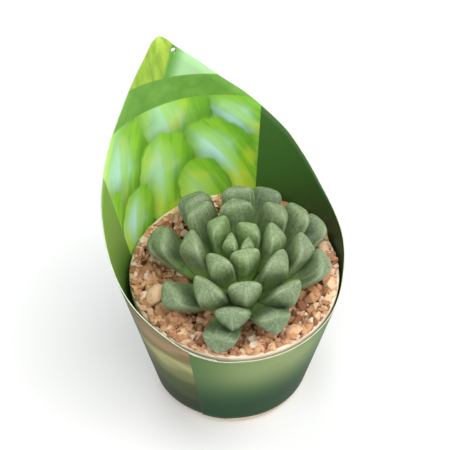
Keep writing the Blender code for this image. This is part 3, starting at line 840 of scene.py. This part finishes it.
grit = {
    "low": 52.35 * mm,
    "topMiddle": 56.8 * mm,
    "topEdge": 63.4 * mm,
    "riseStart": 25.0 * mm,
    "bedDip": 1.7 * mm,
    "bedRings": 14,
    "bedRelief": 0.5 * mm,
    "holeRadius": 8.0 * mm,
    "kinds": 10,
    "cornerJitter": 0.2,
    "brokenFaces": 4,
    "breakDepth": (0.36, 0.52),
    "wornEdge": 0.08,
    "count": 1750,
    "small": 1.7 * mm,
    "large": 4.8 * mm,
    "smallness": 2.2,  # above 1, small stones outnumber large ones
    "proportions": ((0.9, 1.4), (0.7, 1.0), (0.6, 0.9)),
    "tumble": 1.1,
    "sink": (-0.50, 0.42),  # a middle's height over the surface, in sizes of the stone
    "leafGap": 0.62,  # no stone's middle is nearer to a leaf, in sizes of the stone
    "goldenTurn": 137.508,
    "seed": 21,
    # pebbles that stand out: turn, distance from the pot's axis, height, length, long axis' turn, tone
    "markers": (
        (-79.0, 33.5 * mm, 64.6 * mm, 8.4 * mm, 50.0, 0.78),
        (60.0, 40.2 * mm, 66.2 * mm, 5.8 * mm, 20.0, 0.40),
        (-113.0, 37.6 * mm, 63.4 * mm, 5.2 * mm, 80.0, 0.66),
        (-131.0, 36.4 * mm, 63.4 * mm, 4.8 * mm, 150.0, 0.74),
        (106.0, 38.6 * mm, 64.0 * mm, 5.2 * mm, 10.0, 0.74),
        (176.0, 37.5 * mm, 63.8 * mm, 5.0 * mm, 95.0, 0.60),
    ),
    "pebbleProportions": (1.3, 0.84, 0.72),
    # stones that spilled onto the pot's rim: few along the tall back, most in front
    "spilled": 300,
    "spillSize": (1.5, 3.0),
    "spillProportions": (1.2, 0.8, 0.6),
    "spillInside": -1.4,
    "spillReach": 0.9,
    "backHalf": 24.0,
    "backReach": -0.4,
    "frontTurns": (150, 235),
    "frontReach": 2.4,
    "spillHeight": 64.3 * mm,
    "rimLift": 0.35,
    "tones": ((0.0, (146, 94, 62)), (0.14, (190, 136, 96)), (0.36, (224, 168, 122)), (0.56, (236, 186, 140)),
              (0.76, (244, 206, 164)), (0.90, (246, 224, 196)), (1.0, (250, 238, 220))),
    "brownTint": (192, 134, 94),
    "chalk": (250, 226, 200),
    "rust": (160, 100, 66),
    # the bed under the stones: grit colour darkened as painted shade for the gaps between stones
    "bedGritAndShade": ((0.32, (56, 30, 18)), (0.52, (112, 66, 42)), (0.72, (164, 106, 74))),
}
gritWall = potInnerRadius(pot["height"]) - pot["fitGap"]  # the gravel's radius at the pot's mouth


def gravelTop(radius):
    share = smoothStep(radius, grit["riseStart"], potInnerRadius(pot["height"]))
    return grit["topMiddle"] + (grit["topEdge"] - grit["topMiddle"]) * share


def gritStone():
    material, tree, shader = newMaterial("gritStone")
    tone = splitAttribute(tree, "stoneTone")
    colour = colourRamp(tree, tone["X"], grit["tones"])
    grain = useGroup(tree, surfaceGrain, {"Vector": objectPlace(tree), "Size": 1.1 * mm, "Relief": 1.0})
    colour = mixColour(tree, mapRange(tree, grain["Tone"], 0.50, 0.72, 0.0, 0.45), colour, grit["brownTint"])
    colour = mixColour(tree, mapRange(tree, grain["Fine"], 0.58, 0.74, 0.0, 0.5), colour, grit["chalk"])
    colour = mixColour(tree, mapRange(tree, tone["Y"], 0.0, 1.0, 0.0, 0.16), colour, grit["rust"])
    setShader(tree, shader, {"Base Color": colour, "Normal": grain["Normal"]}, {"Roughness": 0.86})
    return material


def gritBedAndShade():
    material, tree, shader = newMaterial("gritBed")
    grain = useGroup(tree, surfaceGrain, {"Vector": objectPlace(tree), "Size": 1.6 * mm, "Relief": 1.0})
    # dark grit colour, darkened as painted shade in the gaps between stones
    colour = colourRamp(tree, grain["Fine"], grit["bedGritAndShade"])
    setShader(tree, shader, {"Base Color": colour, "Normal": grain["Normal"]}, {"Roughness": 0.95})
    return material


def makeGritBed():
    bm = bmesh.new()
    lowWall = potInnerRadius(grit["low"]) - pot["fitGap"]
    rings = [gritWall * number / grit["bedRings"] for number in range(grit["bedRings"] + 1)]
    profile = [(radius, gravelTop(radius) - grit["bedDip"]) for radius in rings]
    profile += [(lowWall, grit["low"]), (0.0, grit["low"])]
    line = [bm.verts.new((radius, 0.0, height)) for radius, height in profile]
    edges = [bm.edges.new(pair) for pair in zip(line, line[1:])]
    bmesh.ops.spin(bm, geom=line + edges, cent=(0, 0, 0), axis=(0, 0, 1), angle=math.tau, steps=96,
                   use_merge=True)
    bmesh.ops.remove_doubles(bm, verts=bm.verts, dist=0.01 * mm)
    faceOutwards(bm)
    for corner in bm.verts:
        if corner.co.z > grit["low"] + 1 * mm and corner.co.xy.length < gritWall - 0.5 * mm:
            corner.co.z += grit["bedRelief"] * noise.noise(corner.co * 500)
    piece = finishPiece("gritBed", bm, [gritBedAndShade()])
    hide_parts("gravel")


def stoneKind(draw):  # a rough block with some broken faces
    bm = bmesh.new()
    bmesh.ops.create_cube(bm, size=1.0)
    jitter = grit["cornerJitter"]
    for corner in bm.verts:
        corner.co += Vector([draw.uniform(-jitter, jitter) for _ in range(3)])
    for _ in range(grit["brokenFaces"]):
        facing = Vector([draw.gauss(0, 1) for _ in range(3)]).normalized()
        bmesh.ops.bisect_plane(bm, geom=bm.verts[:] + bm.edges[:] + bm.faces[:],
                               plane_co=facing * draw.uniform(*grit["breakDepth"]),
                               plane_no=facing, clear_outer=True)
        bmesh.ops.holes_fill(bm, edges=[edge for edge in bm.edges if edge.is_boundary])
    bmesh.ops.bevel(bm, geom=bm.edges[:], offset=grit["wornEdge"], affect="EDGES", segments=1,
                    profile=0.5, material=-1)
    faceOutwards(bm)
    return meshFrom("stoneKind", bm)


def pebbleKind():  # water-worn, with slightly flattened sides
    bm = bmesh.new()
    bmesh.ops.create_icosphere(bm, subdivisions=3, radius=0.5)
    for corner in bm.verts:
        corner.co *= 1 + 0.22 * noise.noise(corner.co * 2.6) + 0.06 * noise.noise(corner.co * 7.0)
    return meshFrom("pebbleKind", bm)


def stoneReach(height):  # up to the pot's wall, and over the rolled rim above it
    overRim = smoothStep(height, pot["height"] - 0.8 * mm, pot["height"])
    return potInnerRadius(height) - pot["fitGap"] + (pot["beadWidth"] + pot["fitGap"]) * overRim


def layStone(bm, kind, middle, size, turn, tone, toneLayer):
    known = len(bm.verts)
    bm.from_mesh(kind)
    bm.verts.ensure_lookup_table()
    for corner in bm.verts[known:]:
        corner.co = middle + turn @ (corner.co * size)
        limit = stoneReach(corner.co.z)
        if corner.co.xy.length > limit:
            corner.co.xy *= limit / corner.co.xy.length
        corner[toneLayer] = tone


def spillLimit(turn):  # how far past the pot's wall stones lie there, in millimetres
    first, last = grit["frontTurns"]
    if abs((turn + 180) % 360 - 180) < grit["backHalf"]:
        return grit["backReach"]
    return grit["frontReach"] if first < turn < last else grit["spillReach"]


def turnAbout(axis, angle):
    return Matrix.Rotation(angle, 3, axis)


def randomTone(draw):
    return draw.random(), draw.random(), draw.random()


def spreadGravel(draw, kinds, leaves, bm, toneLayer):  # an even spiral from the middle out, then jittered
    laid = 0
    tumble = grit["tumble"]
    for number in range(grit["count"]):
        size = grit["small"] + (grit["large"] - grit["small"]) * draw.random() ** grit["smallness"]
        radius = (gritWall - 0.3 * size) * math.sqrt((number + 0.5) / grit["count"])
        middle = turnDirection(grit["goldenTurn"] * number + draw.uniform(-6, 6)) * radius
        middle.z = gravelTop(radius) + draw.uniform(*grit["sink"]) * size
        proportions = Vector([draw.uniform(*span) for span in grit["proportions"]])
        turn = (turnAbout("Z", draw.uniform(0, math.tau)) @ turnAbout("X", draw.uniform(-tumble, tumble))
                @ turnAbout("Y", draw.uniform(-tumble, tumble)) @ Matrix.Diagonal(proportions))
        tone = randomTone(draw)
        kind = draw.choice(kinds)
        offLeaves = leaves.find_nearest(middle)[3] > grit["leafGap"] * size
        if offLeaves and (middle.xy - rosette["stem"].xy).length > grit["holeRadius"]:
            layStone(bm, kind, middle, size, turn, tone, toneLayer)
            laid += 1
    return laid


def spillStones(draw, kinds, leaves, bm, toneLayer):  # small stones against and on the pot's rim
    proportions = Matrix.Diagonal(Vector(grit["spillProportions"]))
    for number in range(grit["spilled"]):
        size = draw.uniform(*grit["spillSize"]) * mm
        stoneTurn = grit["goldenTurn"] * number % 360
        radius = gritWall + draw.uniform(grit["spillInside"], spillLimit(stoneTurn)) * mm
        middle = turnDirection(stoneTurn) * radius
        middle.z = grit["spillHeight"] + draw.uniform(-0.5, 0.2) * mm
        if radius > gritWall:
            middle.z = max(middle.z, pot["height"] + grit["rimLift"] * size)
        turn = (turnAbout("Z", draw.uniform(0, math.tau)) @ turnAbout("X", draw.uniform(-0.6, 0.6))
                @ proportions)
        if leaves.find_nearest(middle)[3] > grit["leafGap"] * size:
            layStone(bm, draw.choice(kinds), middle, size, turn, randomTone(draw), toneLayer)


def placePebbles(draw, pebble, bm, toneLayer):
    proportions = Matrix.Diagonal(Vector(grit["pebbleProportions"]))
    for markerTurn, radius, height, size, longTurn, tone in grit["markers"]:
        middle = turnDirection(markerTurn) * radius + up * height
        turn = (turnAbout("Z", math.radians(90 - longTurn)) @ turnAbout("X", draw.uniform(-0.4, 0.4))
                @ turnAbout("Y", draw.uniform(-0.3, 0.1)) @ proportions)
        layStone(bm, pebble, middle, size, turn, (tone, 0.2, 0.5), toneLayer)


def makeStones():
    draw = random.Random(grit["seed"])
    kinds = [stoneKind(draw) for _ in range(grit["kinds"])]
    pebble = pebbleKind()
    leaves = BVHTree.FromObject(leafRosette, bpy.context.evaluated_depsgraph_get())
    bm = bmesh.new()
    toneLayer = bm.verts.layers.float_vector.new("stoneTone")
    laid = spreadGravel(draw, kinds, leaves, bm, toneLayer)
    spillStones(draw, kinds, leaves, bm, toneLayer)
    placePebbles(draw, pebble, bm, toneLayer)
    piece = finishPiece("gritStones", bm, [gritStone()], sharpAngle=38)
    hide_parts("gravel")
    for kind in kinds + [pebble]:
        bpy.data.meshes.remove(kind)
    print("grit laid:", laid, "stones")


makeGritBed()
makeStones()


studio = {
    "cameraPlace": Vector((-0.16527, -0.24488, 0.43057)),  # where the photographer stood over this pot
    "aim": Vector((0.0051, 0.0146, 0.0745)),
    "lens": 93.0,
    "nearest": 0.01,
    "floorHalf": 2.0,
    "floor": ((226, 226, 224), (220, 220, 218)),
    "lightAim": Vector((0, 0, 0.06)),
    # soft round lights: name, place, size, watts, tint
    "lights": (
        ("keyLight", Vector((0.08, -0.42, 1.0)), 0.9, 7.0, (1.0, 0.985, 0.96)),
        ("leftLight", Vector((-0.75, -0.25, 0.80)), 0.9, 4.5, (0.98, 0.99, 1.0)),
        ("rightLight", Vector((0.75, -0.30, 0.80)), 0.9, 4.5, (0.98, 0.99, 1.0)),
        ("backLight", Vector((0.15, 0.85, 0.80)), 0.8, 4.0, (1.0, 1.0, 1.0)),
    ),
    "airTint": (0.93, 0.95, 1.0, 1.0),
    "airStrength": 0.60,
}


def lookFrom(place, target):  # the turn of a light or camera that looks at a point
    return (target - place).to_track_quat("-Z", "Y").to_euler()


def makeFloor():
    material, tree, shader = newMaterial("studioFloor")
    colour = mixColour(tree, cloudNoise(tree, objectPlace(tree), 3.0), *studio["floor"])
    setShader(tree, shader, {"Base Color": colour}, {"Roughness": 0.7})
    bm = bmesh.new()
    bmesh.ops.create_grid(bm, x_segments=4, y_segments=4, size=studio["floorHalf"])
    mesh = meshFrom("studioFloor", bm)
    mesh.materials.append(material)
    floor = placeObject("studioFloor", mesh)


def makeLights():
    for name, place, size, energy, tint in studio["lights"]:
        lamp = bpy.data.lights.new(name, "AREA")
        lamp.shape = "DISK"
        lamp.size = size
        lamp.energy = energy
        lamp.color = tint
        light = placeObject(name, lamp)
        light.location = place
        light.rotation_euler = lookFrom(place, studio["lightAim"])
    world = bpy.data.worlds.new("studioAir")
    world.use_nodes = True
    air = world.node_tree.nodes["Background"].inputs
    air["Color"].default_value = studio["airTint"]
    air["Strength"].default_value = studio["airStrength"]
    bpy.context.scene.world = world


def makeCamera():
    data = bpy.data.cameras.new("photoCamera")
    data.lens = studio["lens"]
    data.clip_start = studio["nearest"]
    camera = placeObject("photoCamera", data)
    camera.location = studio["cameraPlace"]
    camera.rotation_euler = lookFrom(studio["cameraPlace"], studio["aim"])
    bpy.context.scene.camera = camera
    bpy.context.scene.view_settings.view_transform = "Standard"


makeFloor()
makeLights()
makeCamera()
print("studio ready")
